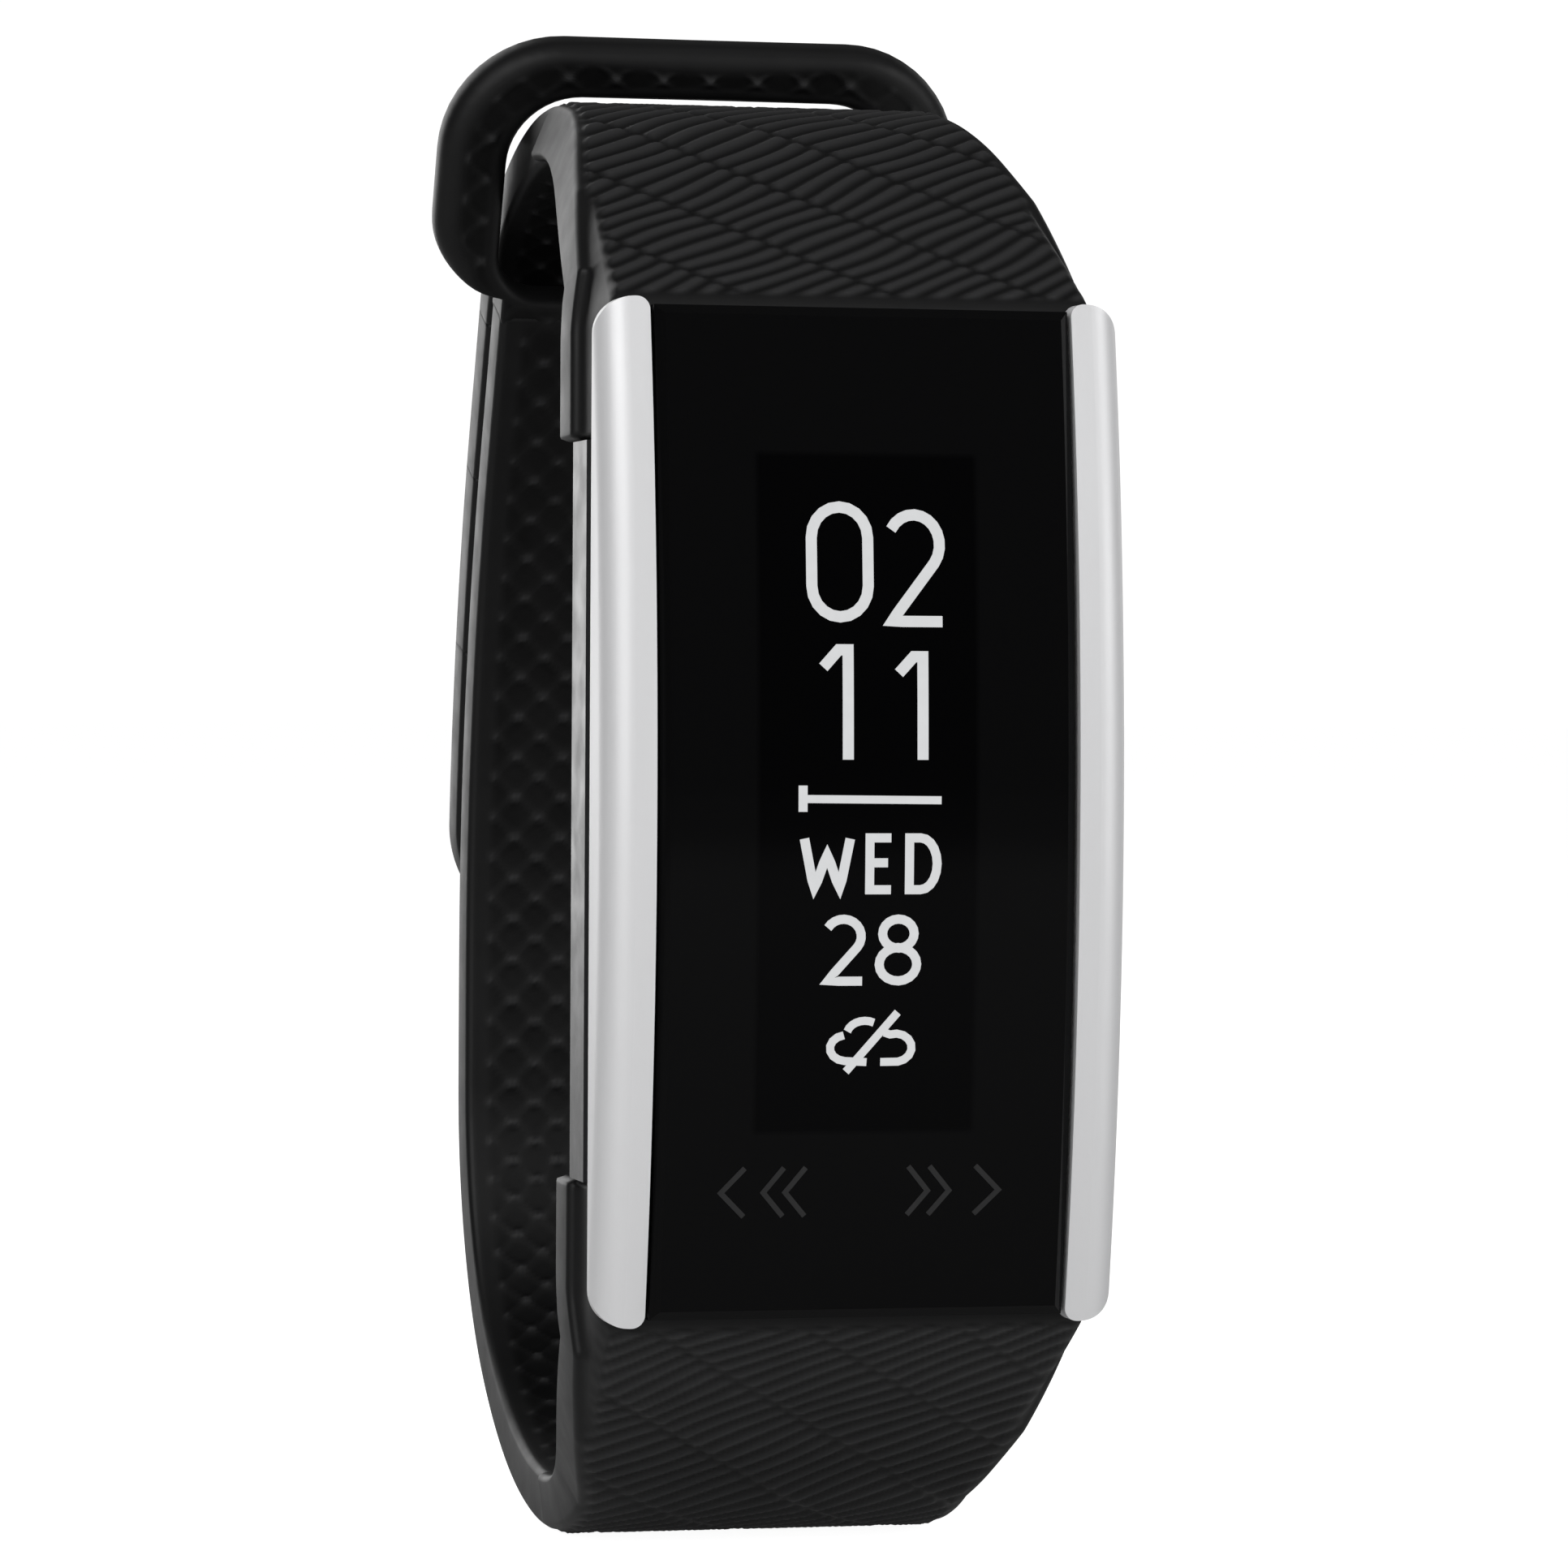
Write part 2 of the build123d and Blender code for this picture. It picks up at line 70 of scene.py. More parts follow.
# strap sizes shared with the CAD model
THICK = 2.2
STRAP_HALF = 8.0
ROOT_HALF = 10.0
ROOT_Z = 19.3
TAPER_RISE = 8.4
CREST_RADIUS = 17.2
TAIL_GAP = 0.7
REAR_DEPTH = 41.2
REAR_LOW = -12.5
REAR_HIGH = -7.8
REAR_RADIUS = 56.0
LEAN = 24.0
HEAD_TOP = 18.2
TAIL_STRAIGHT = 5.0
ROOT_FRONT = 3.05
ROOT_BACK = 10.0
CHEEK_Z = 14.1
ROOT_JOIN = 10.2            # the root's straight face meets the strap's curve at this length
HEAD_HALF = 11.05
HEAD_LENGTH = 11.2
HEAD_CORNER = 5.0
HEAD_HEEL = 3.4
SLOT_HALF = 8.25
SLOT_BAR = 2.3
SLOT_TOP_CORNER = 3.0
SLOT_FOOT_CORNER = 2.0
HEAD_RIM = 0.9              # rounding of the head's outer rim, its slot and its stem
SLOT_RIM = 0.5
STEM_RIM = 0.12
FOOT_INSET = 0.012          # the head's foot is narrower by this share inside the strap
STUD_ANGLE = 6.0
HOLE_HALF = 1.6
HOLE_REACH = 0.7            # straight half length of the oval holes
HOLE_PITCH = 6.4
TAIL_CORNER = 5.0

# moulded surface of the straps
EDGE = 0.32                 # radius of the strap's long edges
RIB_PITCH = 0.85
RIB_RISE = 38.0
RIB_HEIGHT = 0.17
STRIP_WIDTH = 4.2
STRIP_FALL = 45.0
PIP_X = 1.0
PIP_S = 0.9
PIP_HEIGHT = 0.1
RIDGE_HEIGHT = 0.045
LATTICE_HEIGHT = RIDGE_HEIGHT + PIP_HEIGHT
PLAIN = 0.15                # relief value of surfaces without texture
SIDE_THICK = 2.5            # thickness of the strap's side face along its root
LEDGE = 0.1                 # width of the ledge in front of that side face
WEAVE_START = 5.5           # the weave starts this far from the cheek's end, over this length
WEAVE_FADE = 0.25
GRIP_START = 4.0            # the grip pattern starts at this length of the strap
GRIP_FADE = 1.0
END_FADE = 0.8              # both patterns fade out over this length before the head
LEDGE_RISE = 0.32           # width over which the root rises from the ledge


def row(depth):
    """Depth from the lens as a position along the frame's Y axis."""
    return depth - OPENING_DEPTH


# ---------------------------------------------------------------- strap lines

def two_arcs(dy, dz, first, middle, last):
    """Two tangent arcs, as (length, turn) pieces, that cover the step (dy, dz)."""
    a, b, c = radians(first), radians(middle), radians(last)
    ay, by = sin(b) - sin(a), sin(c) - sin(b)
    az, bz = cos(a) - cos(b), cos(b) - cos(c)
    spread = ay * bz - by * az
    radius_a = (dy * bz - by * dz) / spread
    radius_b = (ay * dz - dy * az) / spread
    return [(radius_a * (b - a), middle - first), (radius_b * (c - b), last - middle)]


def bend(radius, turn):
    return abs(radius * radians(turn)), turn


def station(path, s):
    """Depth, height and heading (radians) of a strap's centre line at length s."""
    y, z, heading = path[0]
    for length, turn in path[1]:
        step = min(s, length)
        angle = radians(turn) * step / length
        if turn:
            radius = step / angle if angle else 0.0
            y += radius * (sin(heading + angle) - sin(heading))
            z += radius * (cos(heading) - cos(heading + angle))
        else:
            y += step * cos(heading)
            z += step * sin(heading)
        heading += angle
        s -= step
    return y, z, heading


def length_of(pieces):
    return sum(length for length, turn in pieces)


def lower_path():
    start = (6.34, -18.39, radians(-50.0))
    front = [bend(48.9, 11.0), bend(14.9, 39.0)]
    y, z, heading = station((start, front), length_of(front))
    back = two_arcs(REAR_DEPTH - y, REAR_LOW - z, 0.0, 36.0, 90.0)
    rise = [(REAR_HIGH - REAR_LOW, 0.0), bend(REAR_RADIUS, LEAN), (HEAD_TOP, 0.0)]
    return start, front + back + rise


def upper_path():
    start = (6.29, 18.34, radians(46.0))
    front = [bend(40.0, -14.0), bend(CREST_RADIUS, -32.0)]
    y, z, heading = station((start, front), length_of(front))
    lean = radians(LEAN)
    offset = THICK + TAIL_GAP
    tail_y = REAR_DEPTH - REAR_RADIUS * (1 - cos(lean)) + offset * cos(lean) - TAIL_STRAIGHT * sin(lean)
    tail_z = REAR_HIGH + REAR_RADIUS * sin(lean) + offset * sin(lean) + TAIL_STRAIGHT * cos(lean)
    hook = two_arcs(tail_y - y, tail_z - z, 0.0, -25.0, LEAN - 90.0)
    tail = [(TAIL_STRAIGHT, 0.0), bend(REAR_RADIUS + offset, 1.4 - LEAN)]
    return start, front + hook + tail


LOWER = lower_path()
UPPER = upper_path()
TAIL_END = length_of(UPPER[1])
HEAD_END = length_of(LOWER[1])
TAIL_START = TAIL_END - 25.0
TAIL_JOINTS = [TAIL_START, TAIL_START + 8.2, TAIL_START + 16.0]
STUD_HOLE_S = length_of(LOWER[1][:5]) + REAR_RADIUS * radians(STUD_ANGLE)
HOLES = [STUD_HOLE_S + step * HOLE_PITCH for step in range(-4, 3)]


def edge_point(path, s, side):
    """A point on the strap's surface, side * THICK / 2 to the left of the centre line."""
    y, z, heading = station(path, s)
    return y - side * THICK / 2 * sin(heading), z + side * THICK / 2 * cos(heading)


# ---------------------------------------------------------------- moulded texture

def smooth(t):
    t = np.clip(t, 0.0, 1.0)
    return t * t * (3.0 - 2.0 * t)


def weave(x, h):
    """Relief (0 to 1) of the twill on the outer face: rising ribs cut into falling strips."""
    fall = radians(STRIP_FALL)
    across = (x * sin(fall) + h * cos(fall)) / STRIP_WIDTH
    strip = np.floor(across)
    inside = np.minimum(across - strip, strip + 1.0 - across) * STRIP_WIDTH
    rise = np.radians(RIB_RISE + 5.0 * np.sin(2.3 * strip))
    wander = 0.1 * np.sin(0.9 * x + 2.0 * strip) + 0.08 * np.sin(1.3 * h)
    phase = (h * np.cos(rise) - x * np.sin(rise)) / RIB_PITCH + 0.5 * strip + wander
    rib = 0.5 + 0.5 * np.cos(2 * pi * phase)
    return rib * (0.25 + 0.75 * smooth(inside / 0.3))


def lattice(x, h):
    """Relief (0 to 1) of the inner face's grip pattern: crossing ridges with a pip at each crossing."""
    a, b = x / PIP_X, h / PIP_S
    first = np.abs((a + b) / 2 - np.round((a + b) / 2))
    second = np.abs((a - b) / 2 - np.round((a - b) / 2))
    ridge = np.exp(-(np.minimum(first, second) / 0.09) ** 2)
    pip = np.exp(-(first ** 2 + second ** 2) / 0.022)
    return (RIDGE_HEIGHT * ridge + PIP_HEIGHT * pip) / LATTICE_HEIGHT


# ---------------------------------------------------------------- mesh helpers

def new_piece(name, points, faces, materials, flat=(), relief=None):
    """A mesh object from points in mm (X, depth, Z). Faces numbered in flat are flat shaded."""
    mesh = bpy.data.meshes.new(name)
    spots = np.array(points, float)
    spots[:, 1] -= OPENING_DEPTH
    mesh.from_pydata((spots * MM).tolist(), [], faces)
    work = bmesh.new()
    work.from_mesh(mesh)
    bmesh.ops.recalc_face_normals(work, faces=work.faces)
    work.to_mesh(mesh)
    work.free()
    shading = np.ones(len(faces), bool)
    shading[list(flat)] = False
    mesh.polygons.foreach_set("use_smooth", shading)
    # the relief attribute carries the rubber's painted shade: low values are painted darker, high values
    # lighter
    if relief is not None:
        shares = mesh.attributes.new("relief", "FLOAT", "POINT")
        shares.data.foreach_set("value", np.array(relief, np.float32))
    for material in materials:
        mesh.materials.append(material)
    piece = bpy.data.objects.new(name, mesh)
    bpy.context.scene.collection.objects.link(piece)
    return piece


def resample(points, count):
    """The same polyline as count evenly spaced points."""
    points = np.array(points, float)
    reach = np.concatenate([[0.0], np.cumsum(np.linalg.norm(np.diff(points, axis=0), axis=1))])
    wanted = np.linspace(0.0, reach[-1], count)
    return np.stack([np.interp(wanted, reach, points[:, k]) for k in (0, 1)], axis=1), reach[-1]


def eased(corner, before, after, radius):
    """A rounded corner as a short run of points."""
    corner, before, after = (np.array(p, float) for p in (corner, before, after))
    into = (before - corner) / np.linalg.norm(before - corner)
    out = (after - corner) / np.linalg.norm(after - corner)
    steps = np.linspace(0.0, 1.0, 7)[:, None]
    a, b = corner + into * radius, corner + out * radius
    return ((1 - steps) ** 2 * a + 2 * steps * (1 - steps) * corner + steps ** 2 * b).tolist()


class Ribbon:
    """A strap's moulded skin: rows of sections along its line, each with a textured outer and inner face."""

    def __init__(self, columns):
        self.columns = columns
        self.outer, self.inner, self.s = [], [], []
        self.half_outer, self.half_inner = [], []

    def add(self, outer, inner, s, half_outer, half_inner):
        self.outer.append(outer)
        self.inner.append(inner)
        self.s.append(s)
        self.half_outer.append(half_outer)
        self.half_inner.append(half_inner)

    def finish(self):
        self.outer, self.inner = np.array(self.outer, float), np.array(self.inner, float)
        self.s = np.array(self.s)
        self.half_outer, self.half_inner = np.array(self.half_outer), np.array(self.half_inner)
        tall = np.linalg.norm(self.outer - self.inner, axis=1)
        self.drop = np.maximum(tall - SIDE_THICK, 0.0)

    def round_end(self, at_start, radius):
        """Draws the sections in over the last radius of length, so that the end is rounded."""
        end = self.s[0] if at_start else self.s[-1]
        left = np.clip(radius - np.abs(self.s - end), 0.0, radius)
        inset = radius - np.sqrt(radius ** 2 - left ** 2)
        across = self.outer - self.inner
        across /= np.linalg.norm(across, axis=1)[:, None]
        self.outer = self.outer - across * inset[:, None]
        self.inner = self.inner + across * inset[:, None]
        self.half_outer = self.half_outer - inset
        self.half_inner = self.half_inner - inset

    def spots(self, rows, x_share, lift_share, lift):
        """Points at fractional rows. x_share runs from -1 to 1 across, lift_share from inner 0 to outer 1."""
        index = np.arange(len(self.s))

        def at(values):
            return np.interp(rows, index, values)
        oy, oz, iy, iz = (at(v) for v in (*self.outer.T, *self.inner.T))
        dy, dz = oy - iy, oz - iz
        tall = np.hypot(dy, dz)
        share = lift_share + lift / tall
        half = at(self.half_inner) + (at(self.half_outer) - at(self.half_inner)) * lift_share
        return np.stack([x_share * half, iy + dy * share, iz + dz * share], axis=-1)


def hole_distance(x, s, centre):
    """Distance outside an oval hole's outline."""
    along = np.maximum(np.abs(s - centre) - HOLE_REACH, 0.0)
    return np.hypot(x, along) - HOLE_HALF


def build_ribbon(name, ribbon, up, material, holes=(), plain_rows=None, capped=(True, True)):
    """Turns a Ribbon into a closed mesh. up is +1 where length runs up the front, -1 where it runs down."""
    n, m = len(ribbon.s), ribbon.columns
    rows = np.repeat(np.arange(n)[:, None], m + 1, axis=1).astype(float)
    s = np.repeat(ribbon.s[:, None], m + 1, axis=1)
    share = np.repeat(np.linspace(-1.0, 1.0, m + 1)[None, :], n, axis=0)
    flat_outer = np.maximum(ribbon.half_outer - EDGE, 0.1)[:, None]
    flat_inner = np.maximum(ribbon.half_inner - EDGE, 0.1)[:, None]
    x = share * flat_outer
    keep = np.ones((n - 1, m), bool)
    rim = 0.16
    clear = np.full(x.shape, 9.0)
    for centre in holes:
        distance = hole_distance(x, s, centre)
        clear = np.minimum(clear, distance)
        low = distance < rim
        keep &= ~(low[:-1, :-1] & low[1:, :-1] & low[:-1, 1:] & low[1:, 1:])
    gone = ~keep
    touched = np.zeros((n, m + 1), bool)
    alive = np.zeros((n, m + 1), bool)
    for dr, dc in ((0, 0), (0, 1), (1, 0), (1, 1)):
        touched[dr:n - 1 + dr, dc:m + dc] |= gone
        alive[dr:n - 1 + dr, dc:m + dc] |= keep
    border = touched & alive
    rows_at, x_at = rows.copy(), x.copy()
    wall_rows, wall_x = rows.copy(), x.copy()
    step = np.gradient(ribbon.s)[:, None]
    for centre in holes:
        distance = hole_distance(x, s, centre)
        near = border & (distance < 1.0)
        beyond = np.sign(s - centre) * np.maximum(np.abs(s - centre) - HOLE_REACH, 0.0)
        size = np.maximum(np.hypot(x, beyond), 1e-6)
        for grow, target_rows, target_x in ((rim, rows_at, x_at), (0.0, wall_rows, wall_x)):
            push = (grow - distance) / size
            target_x[near] = (x + x * push)[near]
            target_rows[near] = (rows + beyond * push / step)[near]
    # texture heights, plain beside edges, holes and ends
    margin = smooth((flat_outer - np.abs(x_at) - 0.05) / 0.3) * smooth((clear - rim) / 0.4)
    margin_in = smooth((flat_outer - np.abs(x_at) - 0.55) / 0.3) * smooth((clear - rim) / 0.4)
    if plain_rows is not None:
        margin = margin * plain_rows[0][:, None]
        margin_in = margin_in * plain_rows[1][:, None]
    woven, gripped = weave(x_at, up * s), lattice(x_at, s)
    fall = ribbon.drop[:, None] * (1.0 - smooth((flat_outer - np.abs(x_at) - LEDGE) / LEDGE_RISE))
    inland = smooth((flat_outer - np.abs(x_at) - LEDGE - LEDGE_RISE) / 0.35)
    margin = margin * (1.0 - (1.0 - inland) * np.minimum(ribbon.drop / 0.2, 1.0)[:, None])
    high = RIB_HEIGHT * woven * margin - fall
    low = LATTICE_HEIGHT * gripped * margin_in
    # these relief values drive the rubber's painted shade and highlight: darker in the grooves, lighter on
    # the crests
    outer_relief = PLAIN + (woven - PLAIN) * margin
    inner_relief = PLAIN + (gripped ** 2 - PLAIN) * margin_in
    relief = [outer_relief.ravel(), inner_relief.ravel()]
    top = ribbon.spots(rows_at, x_at / flat_outer, 1.0, high)
    bottom = ribbon.spots(rows_at, x_at / flat_outer, 0.0, -low)
    top[..., 0] = x_at
    bottom[..., 0] = x_at / flat_outer * flat_inner
    points = [top.reshape(-1, 3), bottom.reshape(-1, 3)]
    offset = n * (m + 1)
    grid = np.arange(offset).reshape(n, m + 1)
    below = grid + offset
    faces, flat = [], []
    r, c = np.nonzero(keep)
    faces += np.stack([grid[r, c], grid[r, c + 1], grid[r + 1, c + 1], grid[r + 1, c]], 1).tolist()
    faces += np.stack([below[r, c], below[r + 1, c], below[r + 1, c + 1], below[r, c + 1]], 1).tolist()
    # long edges, rounded
    turn = np.linspace(0.0, pi / 2, 5)[1:]
    total = 2 * offset
    index = np.arange(n).astype(float)
    for side in (-1.0, 1.0):
        chain = [grid[:, 0 if side < 0 else m]]
        marks = [(1.0, EDGE * sin(a), -EDGE * (1 - cos(a))) for a in turn]
        marks += [(0.0, EDGE * sin(a), EDGE * (1 - cos(a))) for a in turn[::-1]]
        for level, out, lift in marks:
            reach = flat_outer[:, 0] if level else flat_inner[:, 0]
            spots = ribbon.spots(index, np.ones(n), level, lift - level * ribbon.drop)
            spots[:, 0] = side * (reach + out)
            points.append(spots)
            chain.append(np.arange(total, total + n))
            total += n
        chain.append(below[:, 0 if side < 0 else m])
        for a, b in zip(chain, chain[1:]):
            faces += np.stack([a[:-1], a[1:], b[1:], b[:-1]], 1).tolist()
        for at_end, capped_here in ((0, capped[0]), (-1, capped[1])):
            if capped_here:
                flat.append(len(faces))
                faces.append([int(line[at_end]) for line in chain])
    for at_end, capped_here in ((0, capped[0]), (n - 1, capped[1])):
        if capped_here:
            a, b = grid[at_end], below[at_end]
            flat += range(len(faces), len(faces) + m)
            faces += np.stack([a[:-1], a[1:], b[1:], b[:-1]], 1).tolist()
    # hole walls with a small chamfer at both faces
    if border.any():
        br, bc = np.nonzero(border)
        number = -np.ones((n, m + 1), int)
        number[br, bc] = np.arange(len(br))
        rings = [grid[br, bc]]
        for level, lift in ((1.0, -rim), (0.0, rim)):
            spots = ribbon.spots(wall_rows[br, bc], np.zeros(len(br)), level, np.full(len(br), lift))
            spots[:, 0] = wall_x[br, bc]
            points.append(spots)
            rings.append(np.arange(total, total + len(br)))
            total += len(br)
        rings.append(below[br, bc])
        edges = []
        padded = np.pad(keep, 1, constant_values=True)
        for r0, c0 in zip(*np.nonzero(gone)):
            for dr, dc, a, b in ((-1, 0, (0, 0), (0, 1)), (1, 0, (1, 0), (1, 1)),
                                 (0, -1, (0, 0), (1, 0)), (0, 1, (0, 1), (1, 1))):
                if padded[r0 + 1 + dr, c0 + 1 + dc]:
                    edges.append((number[r0 + a[0], c0 + a[1]], number[r0 + b[0], c0 + b[1]]))
        for a, b in edges:
            for ring, following in zip(rings, rings[1:]):
                faces.append([int(ring[a]), int(ring[b]), int(following[b]), int(following[a])])
    points = np.concatenate(points)
    used = np.zeros(len(points), bool)
    for face in faces:
        used[face] = True
    new_index = np.cumsum(used) - 1
    faces = [[int(new_index[v]) for v in face] for face in faces]
    relief.append(np.full(len(points) - 2 * offset, PLAIN))
    return new_piece(name, points[used], faces, [material], flat, np.concatenate(relief)[used])


def taper(z):
    """Half width of a strap root at height z, narrowing away from the module."""
    t = np.clip((abs(z) - ROOT_Z) / TAPER_RISE, 0.0, 1.0)
    return ROOT_HALF - 0.6 * t - 1.4 * t * t


def rooted_ribbon(path, z_sign, last, pitch, columns):
    """The rows of a strap from its cheeks beside the case to the given length."""
    outer_side, inner_side = z_sign, -z_sign
    join = edge_point(path, ROOT_JOIN, outer_side)
    corner = (ROOT_FRONT, z_sign * ROOT_Z)
    low = (ROOT_FRONT, z_sign * CHEEK_Z)
    outer = [low] + eased(corner, low, join, 0.4) + [join]
    knee = (ROOT_BACK, z_sign * (CHEEK_Z + 4.0))
    under = edge_point(path, 3.5, inner_side)
    inner = [(ROOT_BACK, z_sign * CHEEK_Z)] + eased(knee, (ROOT_BACK, z_sign * CHEEK_Z), under, 0.5)
    inner += [under] + [edge_point(path, s, inner_side) for s in np.linspace(4.2, ROOT_JOIN, 9)]
    outer_length = resample(outer, 2)[1]
    count = int(outer_length / pitch) + 1
    outer, outer_length = resample(outer, count)
    inner = resample(inner, count)[0]
    ribbon = Ribbon(columns)
    for k in range(count):
        s = ROOT_JOIN - outer_length * (1 - k / (count - 1))
        ribbon.add(outer[k], inner[k], s, taper(outer[k][1]), taper(inner[k][1]))
    front = length_of(path[1][:2])
    top_half = taper(edge_point(path, front, outer_side)[1])
    steps = int((last - ROOT_JOIN) / pitch)
    for s in np.linspace(ROOT_JOIN, last, steps + 1)[1:]:
        a, b = edge_point(path, s, outer_side), edge_point(path, s, inner_side)
        if s < front:
            ribbon.add(a, b, s, taper(a[1]), taper(b[1]))
        else:
            half = STRAP_HALF + (top_half - STRAP_HALF) * (1 - float(smooth((s - front) / 4.0)))
            ribbon.add(a, b, s, half, half)
    ribbon.finish()
    return ribbon


def plain_ribbon(path, first, last, pitch, columns, side):
    ribbon = Ribbon(columns)
    steps = int((last - first) / pitch)
    for s in np.linspace(first, last, steps + 1):
        half = STRAP_HALF
        over = s - (TAIL_END - TAIL_CORNER)
        if path is UPPER and over > 0:
            half -= TAIL_CORNER - sqrt(max(TAIL_CORNER ** 2 - over ** 2, 0.0))
        ribbon.add(edge_point(path, s, side), edge_point(path, s, -side), s, half, half)
    ribbon.finish()
    return ribbon


# ---------------------------------------------------------------- slotted head

def crossing(points, angle, centre):
    """How far a ray from centre goes before it leaves a closed outline."""
    ray = np.array([cos(angle), sin(angle)])
    best = 0.0
    for p, q in zip(points, np.roll(points, -1, axis=0)):
        edge = q - p
        spread = ray[0] * edge[1] - ray[1] * edge[0]
        if abs(spread) < 1e-12:
            continue
        to = p - centre
        t = (to[0] * edge[1] - to[1] * edge[0]) / spread
        u = (to[0] * ray[1] - to[1] * ray[0]) / spread
        if t > 0 and -1e-9 <= u <= 1 + 1e-9:
            best = max(best, t)
    return best


def arc(cx, cy, radius, first, last):
    angles = np.radians(np.linspace(first, last, 13))
    return [(cx + radius * cos(a), cy + radius * sin(a)) for a in angles]


def head_outline(foot):
    """Outline of the head with its end at y = 0 and the strap leaving at y = -foot."""
    right = arc(HEAD_HALF - HEAD_CORNER, -HEAD_CORNER, HEAD_CORNER, 90, 0)
    heel_y = -HEAD_LENGTH + HEAD_HEEL
    inward = np.degrees(-np.arccos((STRAP_HALF - HEAD_HALF + HEAD_HEEL) / HEAD_HEEL))
    right += arc(HEAD_HALF - HEAD_HEEL, heel_y, HEAD_HEEL, 0, inward)
    right += [(STRAP_HALF, -foot)]
    return np.array(right + [(-x, y) for x, y in right[::-1]])


def slot_outline():
    top, bottom = -SLOT_BAR, -HEAD_LENGTH
    r, q = SLOT_TOP_CORNER, SLOT_FOOT_CORNER
    right = arc(SLOT_HALF - r, top - r, r, 90, 0) + arc(SLOT_HALF - q, bottom + q, q, 0, -90)
    return np.array(right + [(-px, py) for px, py in right[::-1]])


def build_head(name, material):
    """The wide ring at the end of the lower strap, with rounded rims and the grip pattern inside."""
    foot = HEAD_LENGTH + 3.0
    seam = HEAD_LENGTH + 0.9
    centre = np.array([0.0, -(SLOT_BAR + HEAD_LENGTH) / 2])
    outside, inside = head_outline(foot), slot_outline()
    around, across, round_steps = 420, 14, 6
    points, loops, relief = [], [], []
    y0, z0, heading = station(LOWER, HEAD_END)
    for k in range(around):
        angle = 2 * pi * k / around
        a, b = crossing(inside, angle, centre), crossing(outside, angle, centre)
        turn = np.linspace(0.0, pi / 2, round_steps)
        above = HEAD_LENGTH + centre[1] + b * sin(angle)
        rim = STEM_RIM + (HEAD_RIM - STEM_RIM) * float(smooth(above / 1.5))
        profile = [(a + SLOT_RIM * (1 - sin(t)), SLOT_RIM * (1 - cos(t))) for t in turn[::-1]]
        profile += [(r, 0.0) for r in np.linspace(a + SLOT_RIM, b - rim, across)[1:-1]]
        profile += [(b - rim + rim * sin(t), rim * (1 - cos(t))) for t in turn]
        loop = []
        for face in (1, -1):
            for r, drop in profile if face > 0 else profile[::-1]:
                x, down = r * cos(angle), -(centre[1] + r * sin(angle))
                deep = max(0.0, min(1.0, (down - seam) / 0.25))
                x *= 1.0 - FOOT_INSET * deep
                height = THICK / 2 - drop - 0.07 * deep
                shade = PLAIN
                if face > 0 and drop == 0.0:
                    edge = min(r - a - SLOT_RIM, b - rim - r)
                    share = float(smooth((edge - 0.05) / 0.3)) * (1 - deep)
                    grip = float(lattice(x, HEAD_END - down))
                    height += LATTICE_HEIGHT * grip * share
                    shade += (grip ** 2 - PLAIN) * share
                relief.append(shade)
                lift = face * height
                s = -down
                depth = y0 + s * cos(heading) - lift * sin(heading)
                loop.append((x, depth, z0 + s * sin(heading) + lift * cos(heading)))
        loops.append(list(range(len(points), len(points) + len(loop))))
        points += loop
    faces = []
    for loop, following in zip(loops, loops[1:] + loops[:1]):
        for i in range(len(loop)):
            j = (i + 1) % len(loop)
            faces.append([loop[i], loop[j], following[j], following[i]])
    return new_piece(name, points, faces, [material], relief=relief)


# ---------------------------------------------------------------- materials

def material_nodes(name):
    material = bpy.data.materials.new(name)
    material.use_nodes = True
    tree = material.node_tree
    return material, tree, tree.nodes["Principled BSDF"]


def link(tree, a, b):
    tree.links.new(a, b)


def noise(tree, scale, detail=3.0, stretch=(1.0, 1.0, 1.0)):
    """Noise in object space, with scale in features per metre."""
    where = tree.nodes.new("ShaderNodeTexCoord")
    mapping = tree.nodes.new("ShaderNodeMapping")
    mapping.inputs["Scale"].default_value = stretch
    texture = tree.nodes.new("ShaderNodeTexNoise")
    texture.inputs["Scale"].default_value = scale
    texture.inputs["Detail"].default_value = detail
    link(tree, where.outputs["Object"], mapping.inputs["Vector"])
    link(tree, mapping.outputs["Vector"], texture.inputs["Vector"])
    return texture.outputs["Fac"]


def mix_colour(tree, factor, a, b):
    mix = tree.nodes.new("ShaderNodeMix")
    mix.data_type = "RGBA"
    mix.inputs[6].default_value = (*a, 1.0)
    mix.inputs[7].default_value = (*b, 1.0)
    link(tree, factor, mix.inputs[0])
    return mix.outputs[2]


def spread(tree, factor, low, high, first=0.3, last=0.7):
    """Maps a noise value onto a range."""
    node = tree.nodes.new("ShaderNodeMapRange")
    node.inputs["From Min"].default_value = first
    node.inputs["From Max"].default_value = last
    node.inputs["To Min"].default_value = low
    node.inputs["To Max"].default_value = high
    link(tree, factor, node.inputs["Value"])
    return node.outputs["Result"]


def surface(name, dark, light, rough, grain, depth, metal=0.0, mottle=220.0,
            stretch=(1.0, 1.0, 1.0), level=0.5, grain_detail=3.0):
    """A finished surface: two close colours, uneven gloss and a fine raised grain."""
    material, tree, shader = material_nodes(name)
    patches = noise(tree, mottle, 4.0, stretch)
    link(tree, mix_colour(tree, patches, dark, light), shader.inputs["Base Color"])
    link(tree, spread(tree, noise(tree, mottle * 3.1, 3.0, stretch), *rough), shader.inputs["Roughness"])
    shader.inputs["Metallic"].default_value = metal
    shader.inputs["Specular IOR Level"].default_value = level
    bump = tree.nodes.new("ShaderNodeBump")
    bump.inputs["Strength"].default_value = 1.0
    bump.inputs["Distance"].default_value = depth * MM
    link(tree, noise(tree, grain, grain_detail, stretch), bump.inputs["Height"])
    link(tree, bump.outputs["Normal"], shader.inputs["Normal"])
    return material


